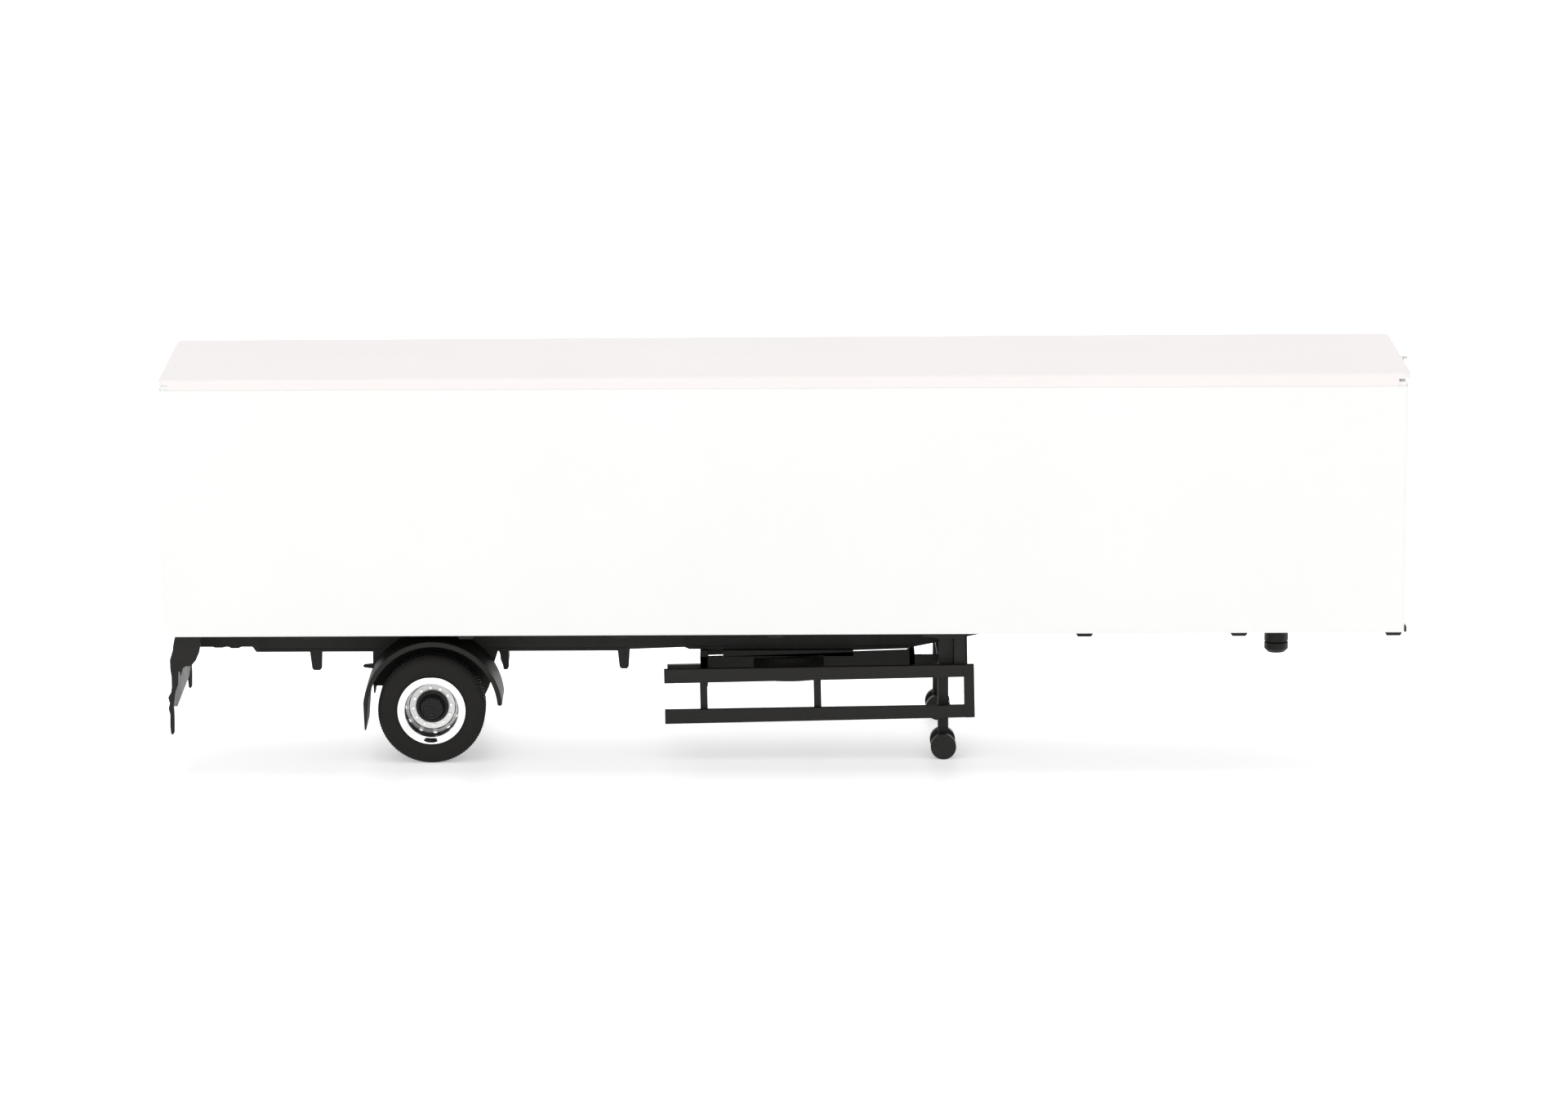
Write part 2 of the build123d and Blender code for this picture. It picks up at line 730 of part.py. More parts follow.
# Wheel parts on the right side: profiles are drawn as radius against distance from the middle
wheel_axis = Axis((wheel_x, 0, wheel_radius), (0, 1, 0))
wheel_plane = Plane(origin=(wheel_x, 0, wheel_radius), x_dir=(0, -1, 0), z_dir=(1, 0, 0))
shoulder_radius = wheel_radius - tyre_shoulder
sidewall_radius = (rim_radius + shoulder_radius) / 2

with BuildPart() as tyre_right:
    with BuildSketch(wheel_plane):
        with BuildLine():
            Line((tyre_back_y + tyre_bead, rim_radius), (tyre_face_y - tyre_bead, rim_radius))
            ThreePointArc(
                (tyre_face_y - tyre_bead, rim_radius),
                (tyre_face_y, sidewall_radius),
                (tyre_face_y - tyre_bead, shoulder_radius),
            )
            Polyline(
                (tyre_face_y - tyre_bead, shoulder_radius),
                (tyre_face_y - tyre_shoulder, wheel_radius),
                (tyre_back_y + tyre_shoulder, wheel_radius),
                (tyre_back_y + tyre_bead, shoulder_radius),
            )
            ThreePointArc(
                (tyre_back_y + tyre_bead, shoulder_radius),
                (tyre_back_y, sidewall_radius),
                (tyre_back_y + tyre_bead, rim_radius),
            )
        make_face()
    revolve(axis=wheel_axis)
keep(tyre_right, "tyre_right")

step_y = tyre_face_y - rim_step
with BuildPart() as wheel_rim_right:
    with BuildSketch(wheel_plane):
        with BuildLine():
            Polyline(
                (tyre_face_y - tyre_bead, rim_radius),
                (tyre_face_y, rim_radius - rim_lip / 2),
                (tyre_face_y - rim_lip, rim_radius - 2 * rim_lip),
                (step_y, rim_step_outer),
                (step_y - rim_lip / 2, rim_step_inner),
                (disc_y, disc_radius),
                (disc_y, 0),
                (shaft_half_length, 0),
                (shaft_half_length, shaft_radius),
                (disc_y - disc_thick, shaft_radius),
                (disc_y - disc_thick, disc_radius),
                (tyre_back_y + tyre_bead, rim_radius - rim_wall),
                (tyre_back_y + tyre_bead, rim_radius),
                close=True,
            )
        make_face()
    revolve(axis=wheel_axis)
    with BuildSketch(Plane.XZ.offset(disc_y)):
        with Locations((wheel_x, wheel_radius)):
            with PolarLocations(nut_circle_radius, nut_count):
                Circle(nut_radius)
    extrude(amount=nut_height)
keep(wheel_rim_right, "wheel_rim_right")

cap_y = disc_y + hub_cap_reach
with BuildPart() as hub_right:
    with BuildSketch(wheel_plane):
        with BuildLine():
            Polyline(
                (disc_y, 0),
                (disc_y, hub_radius),
                (disc_y + hub_flange, hub_radius),
                (disc_y + hub_flange, hub_cap_radius + hub_edge),
                (cap_y - hub_edge, hub_cap_radius),
                (cap_y, hub_cap_radius - hub_edge),
                (cap_y, 0),
                close=True,
            )
        make_face()
    revolve(axis=wheel_axis)
keep(hub_right, "hub_right")

wheel_rows = (
    # name, the right-hand piece
    ("tyre_left", tyre_right),
    ("wheel_rim_left", wheel_rim_right),
    ("hub_left", hub_right),
)
for left_name, right_piece in wheel_rows:
    with BuildPart() as left_piece:
        mirror(right_piece.part, about=Plane.XZ)
    keep(left_piece, left_name)

# Side guards: two bars, an end plate, two posts and an arm to the spare carrier, tipped nose up
tilt = radians(side_guard_tilt)
side_guard_x = rear_x + side_guard_station
side_guard_z = wall_foot_z - side_guard_drop
side_guard_plane = Plane(
    origin=(side_guard_x, -side_guard_y, side_guard_z),
    x_dir=(cos(tilt), 0, sin(tilt)),
    z_dir=(0, -1, 0),
)
plate_rise = side_bar_pitch + side_bar_front_height
post_rows = (
    # place along the guard, top of the post above the lower bar's underside
    (guard_post_places[0], plate_rise - guard_post_foot),
    (guard_post_places[1], plate_rise - guard_post_foot),
)
guard_back_y = side_guard_y - side_bar_thick
arm_z = wall_foot_z - guard_arm_drop
with BuildPart() as side_guard_right:
    with BuildSketch(side_guard_plane):
        for foot in (0, side_bar_pitch):
            Polygon(
                (0, foot),
                (side_guard_length, foot),
                (side_guard_length, foot + side_bar_front_height),
                (0, foot + side_bar_height),
                align=None,
            )
    extrude(amount=-side_bar_thick)
    with BuildSketch(side_guard_plane):
        with Locations((side_guard_length - end_plate_length / 2, plate_rise / 2)):
            RectangleRounded(end_plate_length, plate_rise, end_plate_corner)
    extrude(amount=end_plate_relief)
    with BuildSketch(side_guard_plane):
        with Locations((side_guard_length - end_plate_length / 2, plate_rise / 2)):
            RectangleRounded(end_plate_length, plate_rise, end_plate_corner)
    extrude(amount=-side_bar_thick)
    for place, top in post_rows:
        with BuildSketch(side_guard_plane.offset(-side_bar_thick)):
            with Locations((place, (guard_post_foot + top) / 2)):
                Rectangle(guard_post_width, top - guard_post_foot)
        extrude(amount=-guard_post_thick)
    with BuildSketch(Plane.XY.offset(arm_z)):
        with Locations((side_guard_x + guard_post_places[0], -(guard_back_y + carrier_half_width) / 2)):
            Rectangle(guard_post_width, guard_back_y - carrier_half_width)
    extrude(amount=guard_arm_height)
keep(side_guard_right, "side_guard_right")

with BuildPart() as side_guard_left:
    mirror(side_guard_right.part, about=Plane.XZ)
keep(side_guard_left, "side_guard_left")

# Spare wheel carrier: a frame of four panels tipped nose up, hung from the rails by two risers and
# a neck plate with a stud, and tied to the landing legs by a tongue
rise = radians(carrier_tilt)
carrier_x = rear_x + carrier_station
carrier_z = wall_foot_z - carrier_drop
carrier_front_x = carrier_x + carrier_length * cos(rise)
spare_x = rear_x + spare_station
spare_z = wall_foot_z - spare_drop
neck_z = spare_z + spare_width + spare_play
rail_mid_z = wall_foot_z - rail_mid_drop
leg_x = rear_x + leg_station
leg_y = half_width - leg_inset
leg_outer_x = leg_x + leg_tube_lead
tongue_z = wall_foot_z - tongue_top_drop - tongue_thick
carrier_plane = Plane(
    origin=(carrier_x, 0, carrier_z),
    x_dir=(cos(rise), 0, sin(rise)),
    z_dir=(0, -1, 0),
)
window_height = carrier_height - window_sill - window_rim
with BuildPart() as spare_carrier:
    with BuildSketch(carrier_plane):
        with Locations((carrier_length / 2, carrier_height / 2)):
            Rectangle(carrier_length, carrier_height)
    extrude(amount=carrier_half_width, both=True)
    with BuildSketch(carrier_plane):
        with Locations((carrier_length / 2, carrier_height / 2)):
            Rectangle(carrier_length - 2 * carrier_panel_thick, 2 * carrier_height)
    extrude(amount=carrier_half_width - carrier_panel_thick, both=True, mode=Mode.SUBTRACT)
    with BuildSketch(carrier_plane):
        with Locations((window_start + window_length / 2, window_sill + window_height / 2)):
            Rectangle(window_length, window_height)
    extrude(amount=carrier_half_width, both=True, mode=Mode.SUBTRACT)
    with BuildSketch(Plane.XY.offset(neck_z)):
        with Locations((carrier_x + neck_start + neck_length / 2, 0)):
            Rectangle(neck_length, 2 * carrier_half_width)
    extrude(amount=rail_mid_z - neck_z)
    with BuildSketch(Plane.XY.offset(carrier_z + carrier_panel_thick)):
        with Locations(*[
            (carrier_x + riser_width / 2, side * (carrier_half_width - riser_depth / 2)) for side in (-1, 1)
        ]):
            Rectangle(riser_width, riser_depth)
    extrude(amount=rail_mid_z - carrier_z - carrier_panel_thick)
    with BuildSketch(Plane.XY.offset(spare_z + spare_play)):
        with Locations((spare_x, 0)):
            Circle(spare_stud_radius)
    extrude(amount=neck_z - spare_z)
    tongue_rear_x = carrier_front_x - carrier_panel_thick
    tongue_front_x = leg_outer_x + leg_tube / 2
    with BuildSketch(Plane.XY.offset(tongue_z)):
        with Locations(((tongue_rear_x + tongue_front_x) / 2, 0)):
            Rectangle(tongue_front_x - tongue_rear_x, 2 * carrier_half_width)
        with Locations((leg_outer_x, 0)):
            Rectangle(leg_tube, 2 * (leg_y - leg_tube / 2))
    extrude(amount=tongue_thick)
keep(spare_carrier, "spare_carrier")

# Spare wheel, lying flat under the neck plate, its dish facing down
with BuildPart() as spare_tyre:
    with BuildSketch(Plane.XY.offset(spare_z)):
        with Locations((spare_x, 0)):
            Circle(wheel_radius)
            Circle(rim_radius, mode=Mode.SUBTRACT)
    extrude(amount=spare_width)
    rims = spare_tyre.edges().filter_by(GeomType.CIRCLE).sort_by(SortBy.RADIUS)[-2:]
    chamfer(rims, length=spare_shoulder)
keep(spare_tyre, "spare_tyre")

with BuildPart() as spare_rim:
    with BuildSketch(Plane.XY.offset(spare_z)):
        with Locations((spare_x, 0)):
            Circle(rim_radius)
    extrude(amount=spare_width)
    with BuildSketch(Plane.XY.offset(spare_z)):
        with Locations((spare_x, 0)):
            Circle(disc_radius)
    extrude(amount=spare_dish, mode=Mode.SUBTRACT)
    with BuildSketch(Plane.XY.offset(spare_z)):
        with Locations((spare_x, 0)):
            Circle(spare_stud_radius + spare_play)
    extrude(amount=spare_width, mode=Mode.SUBTRACT)
keep(spare_rim, "spare_rim")

# Landing legs, each an outer and an inner tube on a pair of foot discs
shelf_z = rail_top_z - shelf_thick
leg_tube_z = wall_foot_z - leg_tube_drop
foot_outer_y = half_width - foot_outer_inset
foot_inner_y = half_width - foot_inner_inset
with BuildPart() as landing_leg_right:
    with BuildSketch(Plane.XY.offset(leg_tube_z)):
        with Locations((leg_outer_x, -leg_y)):
            Rectangle(leg_tube, leg_tube)
    extrude(amount=shelf_z - leg_tube_z)
    with BuildSketch(Plane.XY.offset(foot_radius)):
        with Locations((leg_x, -leg_y)):
            Rectangle(leg_inner_tube, leg_inner_tube)
    extrude(amount=leg_tube_z - foot_radius)
    with BuildSketch(Plane.XZ.offset(foot_inner_y - foot_thick)):
        with Locations((leg_x, foot_radius)):
            Circle(foot_pin_radius)
    extrude(amount=foot_outer_y - foot_inner_y + foot_thick)
    for face_y in (foot_inner_y, foot_outer_y):
        with BuildSketch(Plane.XZ.offset(face_y - foot_thick)):
            with Locations((leg_x, foot_radius)):
                Circle(foot_radius)
        extrude(amount=foot_thick)
keep(landing_leg_right, "landing_leg_right")

with BuildPart() as landing_leg_left:
    mirror(landing_leg_right.part, about=Plane.XZ)
keep(landing_leg_left, "landing_leg_left")

# Leg brackets: a shelf over the leg and a plate in front of it that carries the side guard
bracket_x = rear_x + bracket_station
bracket_z = wall_foot_z - bracket_drop
shelf_rear_x = rear_x + shelf_station
shelf_length = bracket_x + bracket_length - shelf_rear_x
bracket_middle_y = (guard_back_y + rail_face_y) / 2
bracket_width = guard_back_y - rail_face_y
with BuildPart() as leg_bracket_right:
    with BuildSketch(Plane.XY.offset(bracket_z)):
        with Locations((bracket_x + bracket_length / 2, -bracket_middle_y)):
            Rectangle(bracket_length, bracket_width)
    extrude(amount=rail_top_z - bracket_z)
    with BuildSketch(Plane.XY.offset(shelf_z)):
        with Locations((shelf_rear_x + shelf_length / 2, -bracket_middle_y)):
            Rectangle(shelf_length, bracket_width)
    extrude(amount=shelf_thick)
keep(leg_bracket_right, "leg_bracket_right")

with BuildPart() as leg_bracket_left:
    mirror(leg_bracket_right.part, about=Plane.XZ)
keep(leg_bracket_left, "leg_bracket_left")

# Rear supports, drawn from the side: gusset, slot and the leg that runs down past the bar
support_rows = (
    # station, drop
    (1.40, 0.10),
    (1.27, 0.43),
    (1.11, 1.20),
    (1.05, 1.77),
    (0.70, 2.92),
    (0.73, 4.08),
    (0.94, 5.42),
    (0.77, 6.77),
    (0.43, 7.34),
    (0.60, 8.02),
    (0.45, 8.64),
    (0.62, 9.30),
    (0.60, 10.72),
    (0.68, 11.58),
    (0.88, 11.76),
    (1.07, 11.49),
    (1.10, 9.85),
    (1.05, 8.31),
    (1.29, 6.67),
    (1.64, 5.71),
    (1.64, 4.30),
    (1.82, 4.30),
    (1.90, 4.95),
    (2.19, 3.89),
    (2.52, 3.65),
    (3.13, 3.65),
    (3.71, 2.94),
    (4.05, 2.17),
    (4.21, 1.40),
    (4.21, 0.10),
)
support_outer_y = half_width - support_inset
with BuildPart() as rear_support_right:
    with BuildSketch(Plane.XZ.offset(support_outer_y)):
        outline(support_rows)
    extrude(amount=-support_thick)
keep(rear_support_right, "rear_support_right")

with BuildPart() as rear_support_left:
    mirror(rear_support_right.part, about=Plane.XZ)
keep(rear_support_left, "rear_support_left")

# Underride bar and lamp board, one above the other across between the supports
bar_half_width = support_outer_y - support_thick
bar_z = wall_foot_z - bar_drop
board_z = bar_z + bar_tall
rail_rear_z = wall_foot_z - rail_rear_drop
with BuildPart() as underride_bar:
    with BuildSketch(Plane.YZ.offset(rear_x + bar_station)):
        Polygon(
            (bar_half_width, board_z),
            (-bar_half_width, board_z),
            (-bar_half_width, bar_z + bar_corner_rise),
            (bar_corner_length - bar_half_width, bar_z),
            (bar_half_width - bar_corner_length, bar_z),
            (bar_half_width, bar_z + bar_corner_rise),
            align=None,
        )
    extrude(amount=bar_thick)
keep(underride_bar, "underride_bar")

with BuildPart() as lamp_board:
    with BuildSketch(Plane.XY.offset(board_z)):
        with Locations((rear_x + bar_station + bar_thick / 2, 0)):
            Rectangle(bar_thick, 2 * bar_half_width)
    extrude(amount=rail_rear_z - board_z)
keep(lamp_board, "lamp_board")
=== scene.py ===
# %% [markdown]
# # A white box semi-trailer at 1:87
# This notebook dresses a small plastic model of a box semi-trailer. Its solid pieces are loaded as a
# frame that is already at the right size and in the right place. What is left to do here is the look:
# the camera, soft light from all sides, the finish of each moulding, and wheels with a real tread.
# Everything is in metres, X runs forward to the kingpin, Y to the trailer's left and Z up.

# %% Load the frame
import json
from math import atan2, cos, pi, radians, sin

import bmesh
import bpy
from mathutils import Euler, Matrix, Vector


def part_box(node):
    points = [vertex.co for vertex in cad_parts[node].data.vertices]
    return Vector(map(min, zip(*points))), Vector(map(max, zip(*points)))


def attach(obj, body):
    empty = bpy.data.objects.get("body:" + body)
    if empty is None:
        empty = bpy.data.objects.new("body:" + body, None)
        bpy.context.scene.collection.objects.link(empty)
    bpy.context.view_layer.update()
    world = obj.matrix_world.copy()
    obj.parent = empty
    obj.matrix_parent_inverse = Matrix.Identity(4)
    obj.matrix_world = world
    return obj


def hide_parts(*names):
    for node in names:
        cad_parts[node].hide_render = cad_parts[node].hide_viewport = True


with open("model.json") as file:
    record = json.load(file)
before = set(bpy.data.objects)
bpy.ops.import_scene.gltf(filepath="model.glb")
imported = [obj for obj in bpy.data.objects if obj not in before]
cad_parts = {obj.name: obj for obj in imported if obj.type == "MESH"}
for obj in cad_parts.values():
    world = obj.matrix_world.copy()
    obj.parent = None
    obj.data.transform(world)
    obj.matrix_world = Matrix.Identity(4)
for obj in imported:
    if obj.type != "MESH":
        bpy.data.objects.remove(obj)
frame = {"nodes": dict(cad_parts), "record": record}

MM = 0.001
nodes = frame["nodes"]
scene = bpy.context.scene
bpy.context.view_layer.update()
print("pieces in the frame:", len(nodes))

# %% [markdown]
# ## The camera
# The picture to match was taken with a long lens from the trailer's right side, a little above it. A
# camera can be aimed by eye, or worked out from the corners of the body, whose real places are known.
# The second way was used: these few numbers are the place, the angles in degrees and the lens that make
# the body's corners fall where they do in the picture. The roll is a turn about the line of sight, so it
# comes last.

# %% Camera
camera_place = Vector((-5.155, -791.5, 172.4)) * MM
camera_yaw, camera_dip, camera_roll = 0.337, 10.736, -0.157
sensor_width, focal_length = 36, 158.3
nearest, farthest = 0.01, 100
camera_data = bpy.data.cameras.new("camera")
camera_data.sensor_width, camera_data.lens = sensor_width, focal_length
camera_data.clip_start, camera_data.clip_end = nearest, farthest
camera = bpy.data.objects.new("camera", camera_data)
scene.collection.objects.link(camera)
scene.camera = camera
aim = Euler((radians(90 - camera_dip), 0, radians(-camera_yaw))).to_matrix()
aim = aim @ Matrix.Rotation(radians(camera_roll), 3, "Z")
camera.matrix_world = Matrix.Translation(camera_place) @ aim.to_4x4()
scene.view_settings.view_transform = "Standard"
print("camera distance in mm:", round(camera_place.length / MM))

# %% [markdown]
# ## Shader maths as Python
# A material is a graph of nodes. Written link by link it is long and hard to read, so a small class
# wraps one socket and turns `a * b + 0.1` into Math nodes. A second class holds a material's tree, and
# its node method adds any other node: first its settings, then the values or links of its sockets.


# %% Two small classes for materials
class Channel:
    """One socket that carries a number, for use in expressions."""

    def __init__(self, paint, socket):
        self.paint, self.socket = paint, socket

    def _maths(self, operation, left, right=0.0):
        node = self.paint.node("ShaderNodeMath", {"operation": operation}, {0: left, 1: right})
        return Channel(self.paint, node.outputs[0])

    def __add__(self, other):
        return self._maths("ADD", self, other)

    def __radd__(self, other):
        return self._maths("ADD", other, self)

    def __sub__(self, other):
        return self._maths("SUBTRACT", self, other)

    def __rsub__(self, other):
        return self._maths("SUBTRACT", other, self)

    def __mul__(self, other):
        return self._maths("MULTIPLY", self, other)

    def __rmul__(self, other):
        return self._maths("MULTIPLY", other, self)

    def __abs__(self):
        return self._maths("ABSOLUTE", self)


class Paint:
    """A material's or a world's node tree. Each surface gets one of these."""

    def __init__(self, name, owner=None):
        self.owner = owner or bpy.data.materials.new(name)
        self.owner.use_nodes = True
        self.tree = self.owner.node_tree
        self.tree.nodes.clear()

    def feed(self, socket, value):
        """Links a socket to where its value comes from, or sets the value."""
        value = value.socket if isinstance(value, Channel) else value
        if isinstance(value, bpy.types.NodeSocket):
            self.tree.links.new(value, socket)
        else:
            socket.default_value = value

    def node(self, kind, settings=None, sockets=None):
        made = self.tree.nodes.new(kind)
        for name, value in (settings or {}).items():
            if name == "stops":
                ramp = made.color_ramp.elements
                for place, stop in enumerate(value):
                    element = ramp[place] if place < 2 else ramp.new(stop[0])
                    element.position, element.color = stop
            else:
                setattr(made, name, value)
        for name, value in (sockets or {}).items():
            self.feed(made.inputs[name], value)
        return made

    def place(self):
        return self.node("ShaderNodeTexCoord").outputs["Object"]

    def along(self, axis):
        """How far a point lies along X, Y or Z, in mm."""
        apart = self.node("ShaderNodeSeparateXYZ", None, {"Vector": self.place()})
        return Channel(self, apart.outputs[axis]) * (1 / MM)

    def looked_at(self):
        """1 for what the camera or a mirror sees, 0 for light on its way to other things."""
        path = self.node("ShaderNodeLightPath")
        rays = {0: path.outputs["Is Camera Ray"], 1: path.outputs["Is Glossy Ray"]}
        return Channel(self, self.node("ShaderNodeMath", {"operation": "MAXIMUM"}, rays).outputs[0])

    def noise(self, size_mm, detail):
        """Soft random grain whose lumps are about size_mm across, as a number from 0 to 1."""
        sockets = {"Vector": self.place(), "Scale": 1 / (size_mm * MM), "Detail": detail, "Roughness": 0.5}
        return Channel(self, self.node("ShaderNodeTexNoise", None, sockets).outputs["Fac"])

    def ramp(self, amount, low, high):
        """Stretches the part of a number between low and high, both from 0 to 1, to all of 0 to 1."""
        stops = [(low, grey(0)), (high, grey(1))]
        made = self.node("ShaderNodeValToRGB", {"stops": stops}, {"Fac": amount})
        return Channel(self, made.outputs["Color"])

    def rise(self, amount, low, high):
        """Goes from 0 to 1 while a number of any size goes from low to high."""
        return self.ramp((amount - low) * (1 / (high - low)), 0.0, 1.0)

    def mix(self, amount, first, second):
        """Blends two colours. This node has sockets for every type, and only some are in use."""
        made = self.node("ShaderNodeMix", {"data_type": "RGBA"})
        in_use = {socket.name: socket for socket in made.inputs if socket.enabled}
        for name, value in (("Factor", amount), ("A", first), ("B", second)):
            self.feed(in_use[name], value)
        return [socket for socket in made.outputs if socket.enabled][0]

    def bump(self, height, depth_mm, strength):
        sockets = {"Height": height, "Distance": depth_mm * MM, "Strength": strength}
        return self.node("ShaderNodeBump", None, sockets).outputs["Normal"]

    def surface(self, **sockets):
        """Ends the tree in a Principled shader."""
        sockets = {name.replace("_", " "): value for name, value in sockets.items()}
        shader = self.node("ShaderNodeBsdfPrincipled", None, sockets)
        self.node("ShaderNodeOutputMaterial", None, {"Surface": shader.outputs[0]})
        return self.owner


def grey(level):
    return (level, level, level, 1)


# %% [markdown]
# ## Light from all sides
# A white model on white paper is lit by a tent: light comes softly from everywhere. One strength for the
# whole tent would flatten every edge, so the world is a little under full strength and two large lamps, one
# overhead and one beside the camera, bring the roof and the near side up to a plain level. Edges that turn
# away from both are then a touch greyer. What the camera and the plated rims see of the tent is exactly
# white.

# %% World and lamps
tent = 0.80
world = bpy.data.worlds.new("tent")
scene.world = world
sky = Paint("tent", world)
strength = sky.looked_at() * (1 - tent) + tent
background = sky.node("ShaderNodeBackground", None, {"Color": grey(1), "Strength": strength})
sky.node("ShaderNodeOutputWorld", None, {"Surface": background.outputs[0]})

lamps_aim = Vector((0, 0, 0.03))
for name, place, size, watts in (
    ("overhead", Vector((0.0, 0.40, 1.2)), 0.7, 2.0),
    ("beside the camera", Vector((-0.25, -1.6, 0.45)), 1.2, 5.0),
):
    light = bpy.data.lights.new(name, "AREA")
    light.shape, light.size, light.energy = "SQUARE", size, watts
    lamp = bpy.data.objects.new(name, light)
    scene.collection.objects.link(lamp)
    lamp.location = place
    lamp.rotation_euler = (lamps_aim - place).to_track_quat("-Z", "Y").to_euler()
    print("lamp", name, "in watts:", watts)

# %% [markdown]
# ## What the plating sees
# Polished rims show the dark camera and its stand, low in the bright band of the rim. The stand-in for both
# is a plain black block behind the lens, which only mirrors see, so it takes no light from the model.


# %% Black camera and stand
def to_object(shape, name):
    """Turns a bmesh into an object of the scene."""
    mesh = bpy.data.meshes.new(name)
    shape.to_mesh(mesh)
    shape.free()
    made = bpy.data.objects.new(name, mesh)
    scene.collection.objects.link(made)
    return made


stand_half, stand_shift = Vector((0.080, 0.02, 0.17)), Vector((-0.061, -0.03, 0.10))
stand_in = bmesh.new()
stand_place = Matrix.Translation(camera_place + stand_shift) @ Matrix.Diagonal(stand_half.to_4d())
bmesh.ops.create_cube(stand_in, size=2.0, matrix=stand_place)
camera_body = to_object(stand_in, "camera body")
dull_black = Paint("dull black").surface(Base_Color=grey(0.004), Roughness=0.8, Specular_IOR_Level=0.05)
camera_body.data.materials.append(dull_black)
camera_body.visible_camera = camera_body.visible_diffuse = camera_body.visible_shadow = False
print("black block in mm:", [round(2 * half / MM) for half in stand_half])

# %% [markdown]
# ## White paper under the wheels
# The floor must end as pure white and still keep the shadow. A white diffuse sheet gets close, and light
# of its own, which only the camera and mirrors see, lifts it over the top where nothing shades it. The more
# of that light it has, the fainter the shadow looks, without changing the light on the model. The sheet
# glows more behind the near wheel than in front of it, like a table lit from below at the back, so what
# shows between the wheels and under the chassis is white and the shadow lies along the near side only. A
# faint sheen lies on top, as on coated paper.

# %% Floor
floor_half = 6.0
paper_white, sheen_level, sheen_roughness = 0.92, 0.20, 0.35
near_glow, far_glow = 0.265, 0.68
near_edge_mm, far_edge_mm = -18.0, 3.0
sheet = bmesh.new()
bmesh.ops.create_grid(sheet, x_segments=1, y_segments=1, size=floor_half)
floor = to_object(sheet, "floor")
paper = Paint("white paper")
depth = paper.rise(paper.along("Y"), near_edge_mm, far_edge_mm)
glow = paper.looked_at() * (depth * (far_glow - near_glow) + near_glow)
diffuse = paper.node("ShaderNodeBsdfDiffuse", None, {"Color": grey(paper_white)})
emission = paper.node("ShaderNodeEmission", None, {"Color": grey(1), "Strength": glow})
sheen_sockets = {"Color": grey(sheen_level), "Roughness": sheen_roughness}
sheen = paper.node("ShaderNodeBsdfAnisotropic", None, sheen_sockets)
matt = paper.node("ShaderNodeAddShader", None, {0: diffuse.outputs[0], 1: emission.outputs[0]})
coated = paper.node("ShaderNodeAddShader", None, {0: matt.outputs[0], 1: sheen.outputs[0]})
paper.node("ShaderNodeOutputMaterial", None, {"Surface": coated.outputs[0]})
floor.data.materials.append(paper.owner)
print("floor glow in front and behind:", near_glow, far_glow)

# %% [markdown]
# ## Moulded white plastic
# The body and the lid are polystyrene from polished moulds, so they are smooth with a soft gloss. Two
# faint things keep them from looking like a computer's white: a slow drift in tone, and slight waves
# where the plastic shrank as it cooled. The lid is from another batch and a touch pinker.

# %% White mouldings
drift_mm, wave_mm, ripple_mm, gloss_mm = 22.0, 4.0, 0.25, 9.0


def white_moulding(name, low_tone, high_tone):
    paint = Paint(name)
    drift = paint.ramp(paint.noise(drift_mm, 3.0), 0.35, 0.65)
    waves = paint.noise(wave_mm, 2.0) * 0.8 + paint.noise(ripple_mm, 1.0) * 0.2
    return paint.surface(
        Base_Color=paint.mix(drift, low_tone, high_tone),
        Roughness=paint.noise(gloss_mm, 4.0) * 0.12 + 0.30,
        Normal=paint.bump(waves, 0.01, 0.5),
    )


body_white = white_moulding("body white", (0.935, 0.935, 0.920, 1), (0.950, 0.950, 0.936, 1))
roof_white = white_moulding("roof white", (0.925, 0.880, 0.870, 1), (0.940, 0.895, 0.885, 1))
print("white finishes:", body_white.name, "and", roof_white.name)

# %% [markdown]
# ## Moulded black plastic
# The chassis comes from a spark-eroded mould, which leaves a fine satin grain. The grain goes into the
# bump, and handling has polished it in patches, so the tone and the roughness wander too.

# %% Black mouldings
chassis_tone = (0.0066, 0.0061, 0.0048, 1)
tyre_tone = (0.0070, 0.0066, 0.0054, 1)
hub_tone = (0.0048, 0.0046, 0.0040, 1)
patch_mm, patch_gain = 3.0, 1.35


def black_moulding(name, tone, roughness, grain_mm, gloss):
    paint = Paint(name)
    patches = paint.ramp(paint.noise(patch_mm, 4.0), 0.35, 0.70)
    grain = paint.noise(grain_mm, 2.0)
    return paint.surface(
        Base_Color=paint.mix(patches, tone, (*(patch_gain * part for part in tone[:3]), 1)),
        Roughness=patches * 0.10 + grain * 0.08 + roughness,
        Specular_IOR_Level=gloss,
        Normal=paint.bump(grain, 0.03, 0.8),
    )


chassis_black = black_moulding("chassis black", chassis_tone, 0.40, 0.10, 0.26)
tyre_black = black_moulding("tyre black", tyre_tone, 0.55, 0.14, 0.22)
hub_black = black_moulding("hub black", hub_tone, 0.36, 0.10, 0.28)
print("black finishes:", chassis_black.name, tyre_black.name, hub_black.name, sep=", ")

# %% [markdown]
# ## Tread with a painted highlight on the lugs
# The edges of the lugs catch more light than the grooves between them, and this light is painted into the
# colour. On the wheels the tone rises with the distance from the axle, over the last few hundredths of a
# millimetre, so the tops of the lugs get a paler tone: a painted highlight. A distance needs a square root,
# but comparing squares does as well.

# %% Tread
tyre_low, tyre_high = (Vector(corner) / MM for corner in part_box("tyre_right"))
axle = (tyre_low + tyre_high) / 2
tyre_radius, tyre_width = tyre_high.z - axle.z, tyre_high.y - tyre_low.y
print("tyre radius and width in mm:", round(tyre_radius, 3), round(tyre_width, 3))

